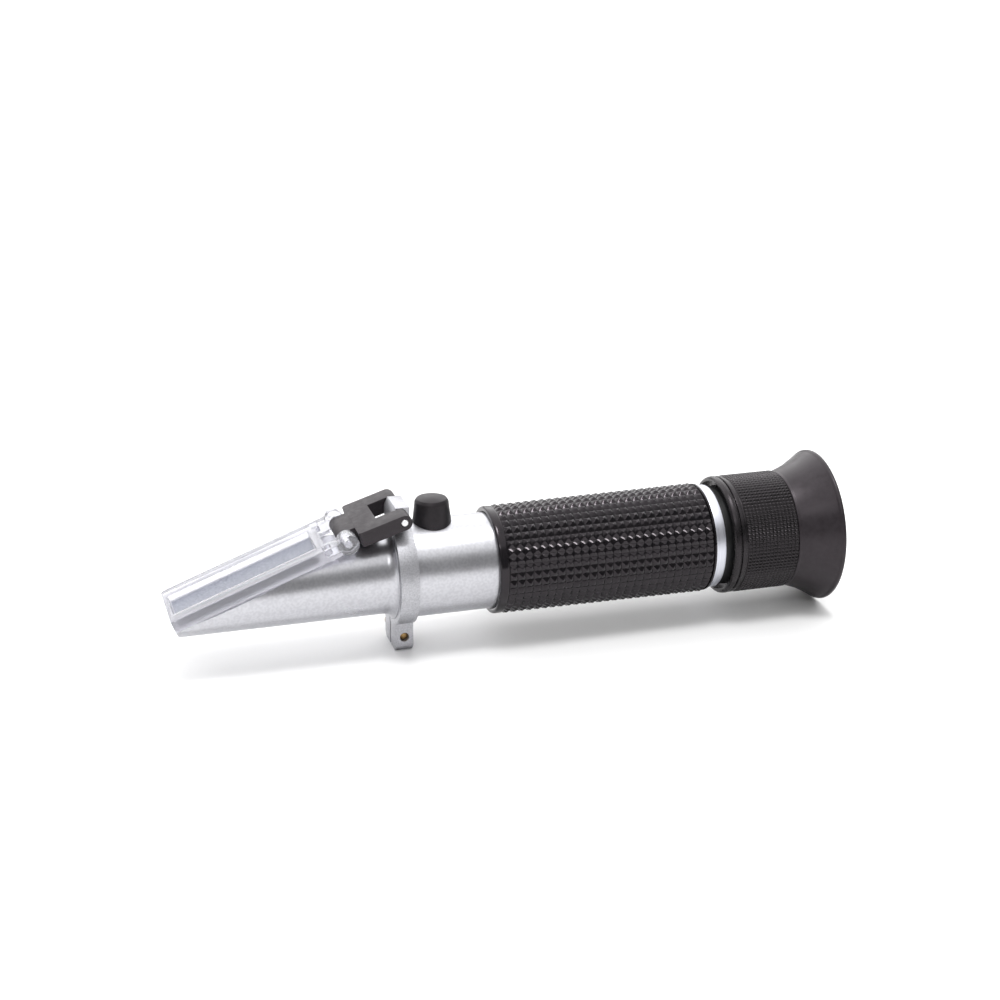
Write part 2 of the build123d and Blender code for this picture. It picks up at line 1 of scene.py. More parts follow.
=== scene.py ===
import math
import bmesh
import bpy
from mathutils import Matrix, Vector


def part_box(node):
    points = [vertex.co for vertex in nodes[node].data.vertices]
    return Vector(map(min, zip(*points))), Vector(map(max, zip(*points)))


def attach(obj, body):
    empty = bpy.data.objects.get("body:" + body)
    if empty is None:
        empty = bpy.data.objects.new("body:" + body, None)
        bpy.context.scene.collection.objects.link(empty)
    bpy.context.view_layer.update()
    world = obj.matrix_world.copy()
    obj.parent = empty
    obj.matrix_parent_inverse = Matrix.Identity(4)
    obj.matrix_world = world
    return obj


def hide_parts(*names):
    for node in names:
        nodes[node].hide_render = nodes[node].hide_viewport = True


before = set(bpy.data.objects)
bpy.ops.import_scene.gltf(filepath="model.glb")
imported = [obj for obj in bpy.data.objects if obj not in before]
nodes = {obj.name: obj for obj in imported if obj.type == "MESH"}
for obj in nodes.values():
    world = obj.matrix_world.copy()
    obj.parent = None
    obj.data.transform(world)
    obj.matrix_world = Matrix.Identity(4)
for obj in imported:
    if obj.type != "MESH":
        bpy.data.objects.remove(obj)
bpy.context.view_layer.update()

# ---------------------------------------------------------------------------------------------------------
# Barrel. A drawn aluminium tube, faced at both ends and sprayed with a fine satin silver paint. The
# housing's spigot and the rear collar close its ends, and the grip is stretched over its rear half.

barrel_low, barrel_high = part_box("barrel")
axis_z = (barrel_low.z + barrel_high.z) / 2
barrel_r = (barrel_high.z - barrel_low.z) / 2
barrel_wall = 0.0015
mm = 0.001


def placed(name, data):
    """Put a mesh, a lamp or a camera in the scene as an object."""
    thing = bpy.data.objects.new(name, data)
    bpy.context.collection.objects.link(thing)
    return thing


def claim(piece, finish, body, slot, *replaced):
    """Coat a finished piece, hang it on the body it rides on, and hide the nodes it stands for."""
    piece.data.materials.append(finish.material)
    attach(piece, body)
    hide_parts(*replaced)


def rounded(outline, radius, steps=4):
    """The closed outline with each corner turned into an arc, as small as its two sides need."""
    result = []
    count = len(outline)
    for i, corner in enumerate(outline):
        here = Vector(corner)
        back = Vector(outline[i - 1]) - here
        ahead = Vector(outline[(i + 1) % count]) - here
        turn = math.pi - back.angle(ahead)
        if turn < math.radians(12):
            result.append(here)
            continue
        cut = min(radius * math.tan(turn / 2), back.length * 0.45, ahead.length * 0.45)
        start = here + back.normalized() * cut
        end = here + ahead.normalized() * cut
        for step in range(steps + 1):
            t = step / steps
            result.append(start * (1 - t) ** 2 + here * 2 * t * (1 - t) + end * t ** 2)
    return result


def lathed(outline, segments=160, centre=None, along=None):
    """A closed ring of metal, rubber or glass from its outline of (station, radius) points."""
    centre = centre or Vector((0, 0, axis_z))
    along = along or Vector((1, 0, 0))
    up = Vector((0, 0, 1)) if abs(along.z) < 0.5 else Vector((1, 0, 0))
    aside = along.cross(up)
    mesh = bpy.data.meshes.new("lathed")
    turned = bmesh.new()
    rings = []
    for step in range(segments):
        angle = 2 * math.pi * step / segments
        out = up * math.cos(angle) + aside * math.sin(angle)
        rings.append([turned.verts.new(centre + along * x + out * r) for x, r in outline])
    for step in range(segments):
        ring = rings[step]
        after = rings[(step + 1) % segments]
        for i in range(len(outline)):
            j = (i + 1) % len(outline)
            turned.faces.new((ring[i], ring[j], after[j], after[i]))
    bmesh.ops.remove_doubles(turned, verts=turned.verts, dist=1e-7)
    bmesh.ops.dissolve_degenerate(turned, edges=turned.edges, dist=1e-8)
    bmesh.ops.recalc_face_normals(turned, faces=turned.faces)
    for face in turned.faces:
        face.smooth = True
    turned.to_mesh(mesh)
    turned.free()
    return mesh


def sharp_smooth(mesh, degrees=28):
    """Shade smooth, apart from edges that turn by more than this."""
    mesh.set_sharp_from_angle(angle=math.radians(degrees))


def wired(tree, kind, **inputs):
    """A new shader node. Each input is a value or another node's output, with _ for a space in its name."""
    made = tree.nodes.new(kind)
    for key, value in inputs.items():
        socket = made.inputs[key.replace("_", " ")]
        if isinstance(value, bpy.types.NodeSocket):
            tree.links.new(value, socket)
        else:
            socket.default_value = value
    return made


class Finish:
    """A material under construction: a Principled shader and short calls to wire a pattern into it."""

    def __init__(self, name, colour, roughness, metallic=0.0):
        self.material = bpy.data.materials.new(name)
        self.material.use_nodes = True
        self.tree = self.material.node_tree
        self.shader = self.tree.nodes["Principled BSDF"]
        self.shader.inputs["Base Color"].default_value = (*colour, 1)
        self.shader.inputs["Roughness"].default_value = roughness
        self.shader.inputs["Metallic"].default_value = metallic
        self.place = self.tree.nodes.new("ShaderNodeTexCoord").outputs["Object"]

    def noise(self, scale, detail=3.0, roughness=0.55, stretch=(1, 1, 1)):
        """Grain at that scale per metre, pulled out along an axis by a small stretch value."""
        pulled = wired(self.tree, "ShaderNodeMapping", Scale=stretch, Vector=self.place).outputs["Vector"]
        grain = wired(
            self.tree, "ShaderNodeTexNoise", Scale=scale, Detail=detail, Roughness=roughness, Vector=pulled
        )
        return grain.outputs["Fac"]

    def spread(self, value, low, high, out_low, out_high):
        """Map the middle of a pattern onto a range."""
        remap = wired(
            self.tree, "ShaderNodeMapRange",
            From_Min=low, From_Max=high, To_Min=out_low, To_Max=out_high, Value=value,
        )
        return remap.outputs["Result"]

    def tint(self, value, dark, light):
        """Colour that follows a pattern."""
        ramp = wired(self.tree, "ShaderNodeValToRGB", Fac=value)
        ramp.color_ramp.elements[0].color = (*dark, 1)
        ramp.color_ramp.elements[1].color = (*light, 1)
        self.tree.links.new(ramp.outputs["Color"], self.shader.inputs["Base Color"])

    def gloss(self, value):
        """Roughness that follows a pattern."""
        self.tree.links.new(value, self.shader.inputs["Roughness"])

    def relief(self, value, strength, depth):
        """Bump from a pattern."""
        bump = wired(self.tree, "ShaderNodeBump", Strength=strength, Distance=depth, Height=value)
        self.tree.links.new(bump.outputs["Normal"], self.shader.inputs["Normal"])

    def dull(self, level):
        """Weaker reflections, as from a soft or slightly dusty skin."""
        self.shader.inputs["Specular IOR Level"].default_value = level
        self.shader.inputs["Specular Tint"].default_value = (1.0, 0.90, 0.97, 1)

    def coat(self, weight, roughness):
        """A thin clear layer over the surface."""
        self.shader.inputs["Coat Weight"].default_value = weight
        self.shader.inputs["Coat Roughness"].default_value = roughness

    def clear(self, weight, bend):
        """Let light through, with that index of refraction."""
        self.shader.inputs["Transmission Weight"].default_value = weight
        self.shader.inputs["IOR"].default_value = bend


silver_paint = Finish("satin silver paint", (0.52, 0.52, 0.55), 0.30, 0.92)
flakes = silver_paint.noise(1400, 0)
sparkle = silver_paint.spread(flakes, 0.35, 0.65, 0, 1)
silver_paint.tint(sparkle, (0.515, 0.515, 0.545), (0.575, 0.575, 0.605))
silver_paint.gloss(silver_paint.spread(silver_paint.noise(90, 2), 0.3, 0.7, 0.27, 0.33))
silver_paint.relief(flakes, 0.02, 0.00002)

inner_r = barrel_r - barrel_wall
tube_outline = [
    (barrel_low.x, inner_r),
    (barrel_low.x, barrel_r),
    (barrel_high.x, barrel_r),
    (barrel_high.x, inner_r),
]
tube_mesh = lathed(rounded(tube_outline, 0.25 * mm))
sharp_smooth(tube_mesh)
claim(placed("barrel_tube", tube_mesh), silver_paint, "instrument", "satin_silver", "barrel")


# ---------------------------------------------------------------------------------------------------------
# Prism housing, a zinc die casting with the same silver paint, and the measuring prism cemented in its
# slope. The casting's edges are softly rounded by the mould and the paint.


def as_mesh(piece):
    """The piece's own mesh with its modifiers worked into it, and no modifier left."""
    made = bpy.data.meshes.new_from_object(piece.evaluated_get(bpy.context.evaluated_depsgraph_get()))
    piece.modifiers.clear()
    piece.data = made
    return made


def softened(name, node, width, segments=3, degrees=30):
    """A copy of a machined or moulded node, with every sharp edge rounded over by that width."""
    copy = nodes[node].data.copy()
    weld = 0.002 * mm
    flat = math.radians(0.6)
    shape = bmesh.new()
    shape.from_mesh(copy)
    bmesh.ops.remove_doubles(shape, verts=shape.verts, dist=weld)
    bmesh.ops.dissolve_limit(shape, angle_limit=flat, verts=shape.verts, edges=shape.edges)
    shape.to_mesh(copy)
    shape.free()
    copy.materials.clear()
    if "sharp_face" in copy.attributes:
        copy.attributes.remove(copy.attributes["sharp_face"])
    piece = placed(name, copy)
    bevel = piece.modifiers.new("soft edges", "BEVEL")
    bevel.width = width
    bevel.segments = segments
    bevel.limit_method = "ANGLE"
    bevel.angle_limit = math.radians(degrees)
    made = as_mesh(piece)
    for face in made.polygons:
        face.use_smooth = True
    sharp_smooth(made)
    return piece


housing = softened("housing_casting", "prism_housing", 0.22 * mm)
claim(housing, silver_paint, "instrument", "satin_silver", "prism_housing")

prism_glass = Finish("frosted prism glass", (0.40, 0.42, 0.50), 0.30)
frost = prism_glass.noise(2600, 4, 0.7)
prism_glass.tint(prism_glass.spread(frost, 0.35, 0.65, 0, 1), (0.20, 0.22, 0.28), (0.38, 0.40, 0.47))
prism_glass.relief(frost, 0.2, 0.00005)
prism_glass.coat(0.8, 0.05)
prism = softened("prism_block", "measuring_prism", 0.15 * mm)
claim(prism, prism_glass, "instrument", "optical_glass", "measuring_prism")


# ---------------------------------------------------------------------------------------------------------
# Clamp ring, cast with a slightly rough bright skin, with its screw. The band is one piece with the
# hinge block above and the split lug below, and the screw pulls the lug's two ears together.

cast_silver = Finish("bright cast skin", (0.48, 0.48, 0.51), 0.42, 0.8)
pits = cast_silver.noise(2200, 5, 0.65)
cast_silver.tint(cast_silver.spread(pits, 0.3, 0.7, 0, 1), (0.38, 0.38, 0.405), (0.58, 0.58, 0.61))
cast_silver.gloss(cast_silver.spread(pits, 0.3, 0.7, 0.50, 0.34))
cast_silver.relief(pits, 0.35, 0.00008)
ring = softened("clamp_casting", "clamp_ring", 0.3 * mm)
claim(ring, cast_silver, "instrument", "cast_silver", "clamp_ring")

brass_metal = Finish("turned brass", (0.62, 0.42, 0.18), 0.28, 1.0)
brass_rings = brass_metal.noise(1500, 3, 0.6, (1, 0.2, 1))
# The tint runs far darker than clean brass: painted shade, so that the clamp screw's tip reads dark brown
# down in its hole. Every brass piece is darkened alike.
brass_metal.tint(brass_metal.spread(brass_rings, 0.3, 0.7, 0, 1), (0.20, 0.12, 0.05), (0.40, 0.26, 0.11))
brass_metal.relief(brass_rings, 0.15, 0.00003)

screw_low, screw_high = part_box("clamp_screw")
screw_centre = Vector(((screw_low.x + screw_high.x) / 2, 0, (screw_low.z + screw_high.z) / 2))
head_r = (screw_high.x - screw_low.x) / 2
thread_r = head_r / 2
thread_pitch = 0.45 * mm
head_front = screw_high.y - thread_r
thread_length = head_front - screw_low.y
screw_outline = [(screw_low.y, 0), (screw_low.y, thread_r * 0.7)]
for turn in range(int(thread_length / thread_pitch)):
    root = screw_low.y + (turn + 0.25) * thread_pitch
    screw_outline.append((root, thread_r * 0.84))
    screw_outline.append((root + thread_pitch / 2, thread_r))
screw_outline += [(head_front, thread_r * 0.9), (head_front, head_r * 0.94), (head_front + 0.1 * mm, head_r)]
screw_outline += [(screw_high.y - 0.4 * mm, head_r), (screw_high.y, head_r * 0.8), (screw_high.y, 0)]
screw_mesh = lathed(screw_outline, 48, screw_centre, Vector((0, 1, 0)))
sharp_smooth(screw_mesh, 40)
claim(placed("clamp_bolt", screw_mesh), brass_metal, "instrument", "brass", "clamp_screw")


# ---------------------------------------------------------------------------------------------------------
# Hinge pin and plate pin, ground steel with chamfered ends. The first is flush with the link's prongs,
# and the second shows through the clear ears.

steel_metal = Finish("ground steel", (0.68, 0.68, 0.69), 0.25, 1.0)
grinding = steel_metal.noise(1200, 3, 0.6, (1, 0.1, 1))
steel_metal.tint(steel_metal.spread(grinding, 0.3, 0.7, 0, 1), (0.58, 0.58, 0.59), (0.76, 0.76, 0.77))
steel_metal.gloss(steel_metal.spread(grinding, 0.3, 0.7, 0.20, 0.34))
steel_metal.relief(grinding, 0.08, 0.00002)


def pin_piece(name, node, body):
    """A ground pin across the instrument with a small chamfer at both ends."""
    low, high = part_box(node)
    radius = (high.x - low.x) / 2
    chamfer = radius * 0.15
    outline = [(low.y, 0), (low.y, radius - chamfer), (low.y + chamfer, radius)]
    outline += [(high.y - chamfer, radius), (high.y, radius - chamfer), (high.y, 0)]
    centre = Vector(((low.x + high.x) / 2, 0, (low.z + high.z) / 2))
    mesh = lathed(outline, 48, centre, Vector((0, 1, 0)))
    sharp_smooth(mesh)
    claim(placed(name, mesh), steel_metal, body, "steel", node)


pin_piece("ring_pin", "hinge_pin", "instrument")
pin_piece("ear_pin", "plate_pin", "link")


# ---------------------------------------------------------------------------------------------------------
# Hinge link, moulded in a matt dark plastic with a fine spark-eroded texture and rounded edges. Its two
# prongs turn on the pin in the ring's block, and its tongue carries the plate's pin.

link_plastic = Finish("matt link plastic", (0.025, 0.022, 0.024), 0.5)
link_plastic.dull(0.35)
erosion = link_plastic.noise(5200, 3, 0.6)
link_plastic.tint(link_plastic.spread(erosion, 0.3, 0.7, 0, 1), (0.018, 0.016, 0.018), (0.032, 0.029, 0.031))
link_plastic.gloss(link_plastic.spread(link_plastic.noise(700, 3), 0.3, 0.7, 0.42, 0.55))
link_plastic.relief(erosion, 0.3, 0.00005)
link = softened("link_moulding", "hinge_link", 0.35 * mm, 4)
claim(link, link_plastic, "link", "link_plastic", "hinge_link")


# ---------------------------------------------------------------------------------------------------------
# Daylight plate, injection moulded in clear acrylic. The window's floor spreads the drop of liquid over
# the prism, and the thick rails and ears catch the light along their edges.

acrylic_bend = 1.49
clear_acrylic = Finish("clear acrylic", (0.84, 0.84, 0.89), 0.04)
clear_acrylic.clear(0.86, acrylic_bend)
flow = clear_acrylic.noise(120, 2)
clear_acrylic.gloss(clear_acrylic.spread(clear_acrylic.noise(1400, 4), 0.3, 0.7, 0.015, 0.05))
clear_acrylic.relief(flow, 0.05, 0.0001)

frosted_acrylic = Finish("frosted window floor", (0.25, 0.27, 0.33), 0.5)
frosted_acrylic.clear(0.25, acrylic_bend)
blasting = frosted_acrylic.noise(1900, 4, 0.7)
mottle = frosted_acrylic.spread(blasting, 0.35, 0.65, 0, 1)
frosted_acrylic.tint(mottle, (0.19, 0.205, 0.26), (0.40, 0.415, 0.48))
frosted_acrylic.relief(blasting, 0.3, 0.00006)

hazed_acrylic = Finish("hazed underside", (0.62, 0.61, 0.67), 0.5)
hazed_acrylic.clear(0.35, acrylic_bend)
haze = hazed_acrylic.noise(2300, 4, 0.7)
hazed_acrylic.tint(hazed_acrylic.spread(haze, 0.35, 0.65, 0, 1), (0.52, 0.51, 0.58), (0.74, 0.73, 0.78))
hazed_acrylic.relief(haze, 0.2, 0.00004)
plate = softened("plate_moulding", "daylight_plate", 0.3 * mm, 3)
claim(plate, clear_acrylic, "cover", "clear_acrylic", "daylight_plate")
plate.data.materials.append(frosted_acrylic.material)
plate.data.materials.append(hazed_acrylic.material)
broad_area = 300 * mm * mm
for face in plate.data.polygons:
    if face.area > broad_area and abs(face.normal.y) < 0.1:
        face.material_index = 1 if face.normal.z > 0 else 2


# ---------------------------------------------------------------------------------------------------------
# Calibration cap, a moulded rubber plug over the adjusting screw, with a domed top and a thin skirt that
# follows the tube.

soft_rubber = Finish("moulded black rubber", (0.010, 0.009, 0.010), 0.42)
soft_rubber.dull(0.35)
bloom = soft_rubber.noise(420, 4, 0.6)
soft_rubber.tint(soft_rubber.spread(bloom, 0.3, 0.7, 0, 1), (0.006, 0.006, 0.007), (0.014, 0.013, 0.014))
soft_rubber.gloss(soft_rubber.spread(bloom, 0.3, 0.7, 0.34, 0.48))
soft_rubber.relief(soft_rubber.noise(3600, 3), 0.15, 0.00004)
cap = softened("cap_moulding", "calibration_cap", 0.3 * mm, 4, 24)
claim(cap, soft_rubber, "cap", "black_rubber", "calibration_cap")


# ---------------------------------------------------------------------------------------------------------
# Grip, a glossy black rubber sleeve moulded with rows of small pyramids and stretched over the tube,
# with a smooth round ring at its front. The studs stand in rows along the tube and round it.

glossy_rubber = Finish("glossy black rubber", (0.005, 0.005, 0.006), 0.14)
glossy_rubber.dull(0.42)
handling = glossy_rubber.noise(300, 4, 0.6)
worn = glossy_rubber.spread(handling, 0.3, 0.7, 0, 1)
glossy_rubber.tint(worn, (0.003, 0.003, 0.004), (0.008, 0.007, 0.008))
glossy_rubber.gloss(glossy_rubber.spread(handling, 0.3, 0.7, 0.11, 0.20))
glossy_rubber.relief(glossy_rubber.noise(2600, 2), 0.06, 0.00004)


def stud(side, top, height, round_over):
    """One raised stud: a square pyramid with a flat top and its edges rounded over."""
    mesh = bpy.data.meshes.new("stud")
    shape = bmesh.new()
    corners = ((-1, -1), (1, -1), (1, 1), (-1, 1))
    bottom = [shape.verts.new((x * side / 2, y * side / 2, 0)) for x, y in corners]
    crown = [shape.verts.new((x * top / 2, y * top / 2, height)) for x, y in corners]
    for i in range(4):
        j = (i + 1) % 4
        shape.faces.new((bottom[i], bottom[j], crown[j], crown[i]))
    shape.faces.new(crown)
    ridges = [e for e in shape.edges if not all(v in bottom for v in e.verts)]
    bmesh.ops.bevel(shape, geom=ridges, offset=round_over, segments=1, affect="EDGES", profile=0.5)
    for face in shape.faces:
        face.smooth = True
    shape.to_mesh(mesh)
    shape.free()
    return placed("stud", mesh)


def stud_rows_tree():
    """Geometry Nodes tree that lays studs in rows along and round a slightly tapered sleeve."""
    tree = bpy.data.node_groups.new("stud rows", "GeometryNodeTree")
    face = tree.interface
    face.new_socket("Geometry", in_out="INPUT", socket_type="NodeSocketGeometry")
    for name, kind in (
        ("Stud", "NodeSocketObject"),
        ("Rows along", "NodeSocketInt"),
        ("Studs round", "NodeSocketInt"),
        ("Front", "NodeSocketFloat"),
        ("Rear", "NodeSocketFloat"),
        ("Front radius", "NodeSocketFloat"),
        ("Rear radius", "NodeSocketFloat"),
        ("Axis height", "NodeSocketFloat"),
        ("Material", "NodeSocketMaterial"),
    ):
        face.new_socket(name, in_out="INPUT", socket_type=kind)
    face.new_socket("Geometry", in_out="OUTPUT", socket_type="NodeSocketGeometry")
    link = tree.links.new
    given = tree.nodes.new("NodeGroupInput").outputs
    result = tree.nodes.new("NodeGroupOutput")

    def math_node(operation, first, second=None):
        made = tree.nodes.new("ShaderNodeMath")
        made.operation = operation
        for socket, value in zip(made.inputs, (first, second)):
            if isinstance(value, (int, float)):
                socket.default_value = value
            elif value is not None:
                link(value, socket)
        return made.outputs[0]

    count = math_node("MULTIPLY", given["Rows along"], given["Studs round"])
    points = tree.nodes.new("GeometryNodePoints")
    link(count, points.inputs["Count"])
    index = tree.nodes.new("GeometryNodeInputIndex").outputs[0]
    row = math_node("FLOOR", math_node("DIVIDE", math_node("ADD", index, 0.5), given["Studs round"]))
    column = math_node("SUBTRACT", index, math_node("MULTIPLY", row, given["Studs round"]))
    share = math_node("DIVIDE", math_node("ADD", row, 0.5), given["Rows along"])
    turn = math_node("MULTIPLY", math_node("DIVIDE", column, given["Studs round"]), 2 * math.pi)
    length = math_node("SUBTRACT", given["Rear"], given["Front"])
    station = math_node("ADD", given["Front"], math_node("MULTIPLY", share, length))
    taper = math_node("SUBTRACT", given["Rear radius"], given["Front radius"])
    radius = math_node("ADD", given["Front radius"], math_node("MULTIPLY", share, taper))
    out_y = math_node("MULTIPLY", radius, math_node("SINE", turn))
    out_z = math_node("MULTIPLY", radius, math_node("COSINE", turn))
    place = tree.nodes.new("ShaderNodeCombineXYZ")
    link(station, place.inputs["X"])
    link(out_y, place.inputs["Y"])
    link(math_node("ADD", out_z, given["Axis height"]), place.inputs["Z"])
    laid = tree.nodes.new("GeometryNodeSetPosition")
    link(points.outputs[0], laid.inputs["Geometry"])
    link(place.outputs[0], laid.inputs["Position"])
    spin = tree.nodes.new("ShaderNodeCombineXYZ")
    link(math_node("MULTIPLY", turn, -1.0), spin.inputs["X"])
    source = tree.nodes.new("GeometryNodeObjectInfo")
    link(given["Stud"], source.inputs["Object"])
    studs = tree.nodes.new("GeometryNodeInstanceOnPoints")
    link(laid.outputs[0], studs.inputs["Points"])
    link(source.outputs["Geometry"], studs.inputs["Instance"])
    link(spin.outputs[0], studs.inputs["Rotation"])
    real = tree.nodes.new("GeometryNodeRealizeInstances")
    link(studs.outputs[0], real.inputs[0])
    joined = tree.nodes.new("GeometryNodeJoinGeometry")
    link(real.outputs[0], joined.inputs[0])
    link(given["Geometry"], joined.inputs[0])
    coated = tree.nodes.new("GeometryNodeSetMaterial")
    link(joined.outputs[0], coated.inputs["Geometry"])
    link(given["Material"], coated.inputs["Material"])
    link(coated.outputs[0], result.inputs[0])
    return tree


stud_rows = stud_rows_tree()


def studded(piece, finish, **values):
    """Cover a plain sleeve with studs, and turn the result into a plain mesh."""
    modifier = piece.modifiers.new("stud rows", "NODES")
    modifier.node_group = stud_rows
    values.update(axis_height=axis_z, material=finish.material)
    for socket in stud_rows.interface.items_tree:
        key = socket.name.replace(" ", "_").lower()
        if socket.in_out == "INPUT" and key in values:
            modifier[socket.identifier] = values[key]
    sharp_smooth(as_mesh(piece), 62)
    bpy.data.objects.remove(values["stud"])


grip_low, grip_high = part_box("grip_sleeve")
grip_inner = barrel_r + 0.02 * mm
grip_tip_rear = (grip_high.z - grip_low.z) / 2
grip_tip_front = grip_tip_rear - 0.4 * mm
grip_relief = 0.75 * mm
rear_edge = grip_high.x - 0.5 * mm
sunk = 0.01 * mm
grip_rows, grip_round = 26, 40
grip_pitch = (grip_high.x - grip_low.x) / grip_rows
grip_outline = [
    (grip_low.x, grip_inner),
    (grip_low.x, grip_tip_front - grip_relief),
    (rear_edge, grip_tip_rear - grip_relief),
    (rear_edge, grip_tip_rear - 0.25 * mm),
    (grip_high.x, grip_tip_rear - 0.25 * mm),
    (grip_high.x, grip_inner),
]
grip = placed("grip_moulding", lathed(grip_outline))
studded(
    grip,
    glossy_rubber,
    stud=stud(grip_pitch * 0.96, grip_pitch * 0.2, grip_relief, 0.06 * mm),
    rows_along=grip_rows,
    studs_round=grip_round,
    front=grip_low.x,
    rear=rear_edge,
    front_radius=grip_tip_front - grip_relief - sunk,
    rear_radius=grip_tip_rear - grip_relief - sunk,
)
claim(grip, glossy_rubber, "instrument", "glossy_rubber", "grip_sleeve")

bead_low, bead_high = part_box("grip_front_ring")
bead_r = (bead_high.z - bead_low.z) / 2
bead_outline = [
    (bead_low.x, grip_inner),
    (bead_low.x, bead_r),
    (bead_high.x, bead_r),
    (bead_high.x, grip_inner),
]
bead_mesh = lathed(rounded(bead_outline, 0.9 * mm, 6))
sharp_smooth(bead_mesh, 50)
claim(placed("grip_bead", bead_mesh), glossy_rubber, "instrument", "glossy_rubber", "grip_front_ring")


# ---------------------------------------------------------------------------------------------------------
# Rear collar, a turned aluminium band left bright, with fine tool marks round it and broken edges. It
# closes the rear end of the barrel, behind the grip, and holds the eyepiece mount.

turned_aluminium = Finish("turned aluminium", (0.70, 0.71, 0.77), 0.38, 1.0)
tool_marks = turned_aluminium.noise(1500, 3, 0.6, (1, 0.02, 0.02))
bright_marks = turned_aluminium.spread(tool_marks, 0.3, 0.7, 0, 1)
turned_aluminium.tint(bright_marks, (0.60, 0.61, 0.68), (0.76, 0.77, 0.82))
turned_aluminium.gloss(turned_aluminium.spread(tool_marks, 0.3, 0.7, 0.34, 0.44))
turned_aluminium.relief(tool_marks, 0.1, 0.00003)
collar = softened("collar_band", "rear_collar", 0.2 * mm, 3)
claim(collar, turned_aluminium, "instrument", "turned_aluminium", "rear_collar")


# ---------------------------------------------------------------------------------------------------------
# Focus ring, moulded black plastic: a round lip, a raised bead and a knurled band of fine square studs.
# It turns on the eyepiece mount and carries the eyecup on its neck.

ring_plastic = Finish("satin black plastic", (0.008, 0.007, 0.008), 0.28)
ring_plastic.dull(0.38)
wear = ring_plastic.noise(500, 4, 0.6)
ring_plastic.tint(ring_plastic.spread(wear, 0.3, 0.7, 0, 1), (0.005, 0.005, 0.005), (0.012, 0.011, 0.012))
ring_plastic.gloss(ring_plastic.spread(wear, 0.3, 0.7, 0.22, 0.34))
ring_plastic.relief(ring_plastic.noise(3000, 2), 0.1, 0.00003)

focus_low, focus_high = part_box("focus_ring")
lip_r = (focus_high.z - focus_low.z) / 2
knurl_r = lip_r
neck_r = lip_r - 1.8 * mm
mouth_r = lip_r - 1.3 * mm
bore_r = lip_r - 2.75 * mm
web_front = focus_low.x + 11.8 * mm
web_rear = web_front + 2.0 * mm
shaft_r = lip_r - 4.8 * mm
neck_bore = neck_r - 1.55 * mm
groove_r = lip_r - 0.6 * mm
hoop_r = lip_r - 0.1 * mm
knurl_front = focus_low.x + 4.1 * mm
knurl_rear = focus_low.x + 19.7 * mm
knurl_end = knurl_rear - 0.2 * mm
knurl_relief = 0.38 * mm
lip_end = focus_low.x + 1.7 * mm
focus_outline = [
    (focus_low.x, mouth_r),
    (focus_low.x, lip_r - 0.7 * mm),
    (focus_low.x + 0.35 * mm, lip_r - 0.2 * mm),
    (focus_low.x + 1.0 * mm, lip_r),
    (lip_end, lip_r),
    (lip_end + 0.3 * mm, groove_r),
    (lip_end + 0.5 * mm, groove_r),
    (lip_end + 0.7 * mm, hoop_r),
    (lip_end + 1.6 * mm, hoop_r),
    (lip_end + 1.8 * mm, groove_r),
    (knurl_front, groove_r),
    (knurl_front, knurl_r - knurl_relief),
    (knurl_end, knurl_r - knurl_relief),
    (knurl_rear, knurl_r - knurl_relief - 0.2 * mm),
    (knurl_rear, neck_r),
    (focus_high.x, neck_r),
    (focus_high.x, neck_bore),
    (web_rear, neck_bore),
    (web_rear, shaft_r),
    (web_front, shaft_r),
    (web_front, bore_r),
    (lip_end, bore_r),
    (lip_end, mouth_r),
]
knurl_rows, knurl_round = 14, 100
knurl_pitch = (knurl_end - knurl_front) / knurl_rows
focus = placed("focus_moulding", lathed(rounded(focus_outline, 0.15 * mm, 3)))
studded(
    focus,
    ring_plastic,
    stud=stud(knurl_pitch * 0.95, knurl_pitch * 0.4, knurl_relief, 0.05 * mm),
    rows_along=knurl_rows,
    studs_round=knurl_round,
    front=knurl_front,
    rear=knurl_end,
    front_radius=knurl_r - knurl_relief - sunk,
    rear_radius=knurl_r - knurl_relief - sunk,
)
claim(focus, ring_plastic, "focusing_ring", "black_plastic", "focus_ring")


# ---------------------------------------------------------------------------------------------------------
# Eyecup, soft satin rubber moulded thin at the rim, pushed over the ring's neck. It flares so that it
# shuts out stray light round the eye.

cup_rubber = Finish("satin eyecup rubber", (0.022, 0.019, 0.021), 0.36)
cup_rubber.dull(0.35)
dust = cup_rubber.noise(500, 5, 0.65)
cup_rubber.tint(cup_rubber.spread(dust, 0.3, 0.7, 0, 1), (0.018, 0.015, 0.017), (0.028, 0.024, 0.027))
cup_rubber.gloss(cup_rubber.spread(dust, 0.3, 0.7, 0.28, 0.42))
cup_rubber.relief(cup_rubber.noise(4200, 3), 0.1, 0.00003)

cup_low, cup_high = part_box("eyecup")
rim_r = (cup_high.z - cup_low.z) / 2
cup_neck = rim_r - 5.4 * mm
cup_seat = neck_r + 0.02 * mm
cup_depth = cup_high.x - cup_low.x
cup_outline = [
    (cup_low.x, cup_seat),
    (cup_low.x, cup_neck),
    (cup_low.x + 0.9 * mm, cup_neck + 0.1 * mm),
    (cup_low.x + 0.45 * cup_depth, cup_neck + 1.8 * mm),
    (cup_high.x - 1.5 * mm, rim_r - 0.6 * mm),
    (cup_high.x - 0.9 * mm, rim_r),
    (cup_high.x, rim_r - 0.15 * mm),
    (cup_high.x, rim_r - 1.1 * mm),
    (cup_low.x + 5.6 * mm, cup_seat + 0.6 * mm),
    (cup_low.x + 4.6 * mm, cup_seat),
]
cup_mesh = lathed(rounded(cup_outline, 0.8 * mm, 5), 200)
sharp_smooth(cup_mesh, 50)
claim(placed("eyecup_moulding", cup_mesh), cup_rubber, "focusing_ring", "eyecup_rubber", "eyecup")


# ---------------------------------------------------------------------------------------------------------
# Eyepiece mount, lens tube and the other pieces inside, and the calibration screw under its cap. Their
# turned shapes stand as the workshop made them, in black anodised aluminium, brass, steel and optical
# glass, and screw or slide into one another.

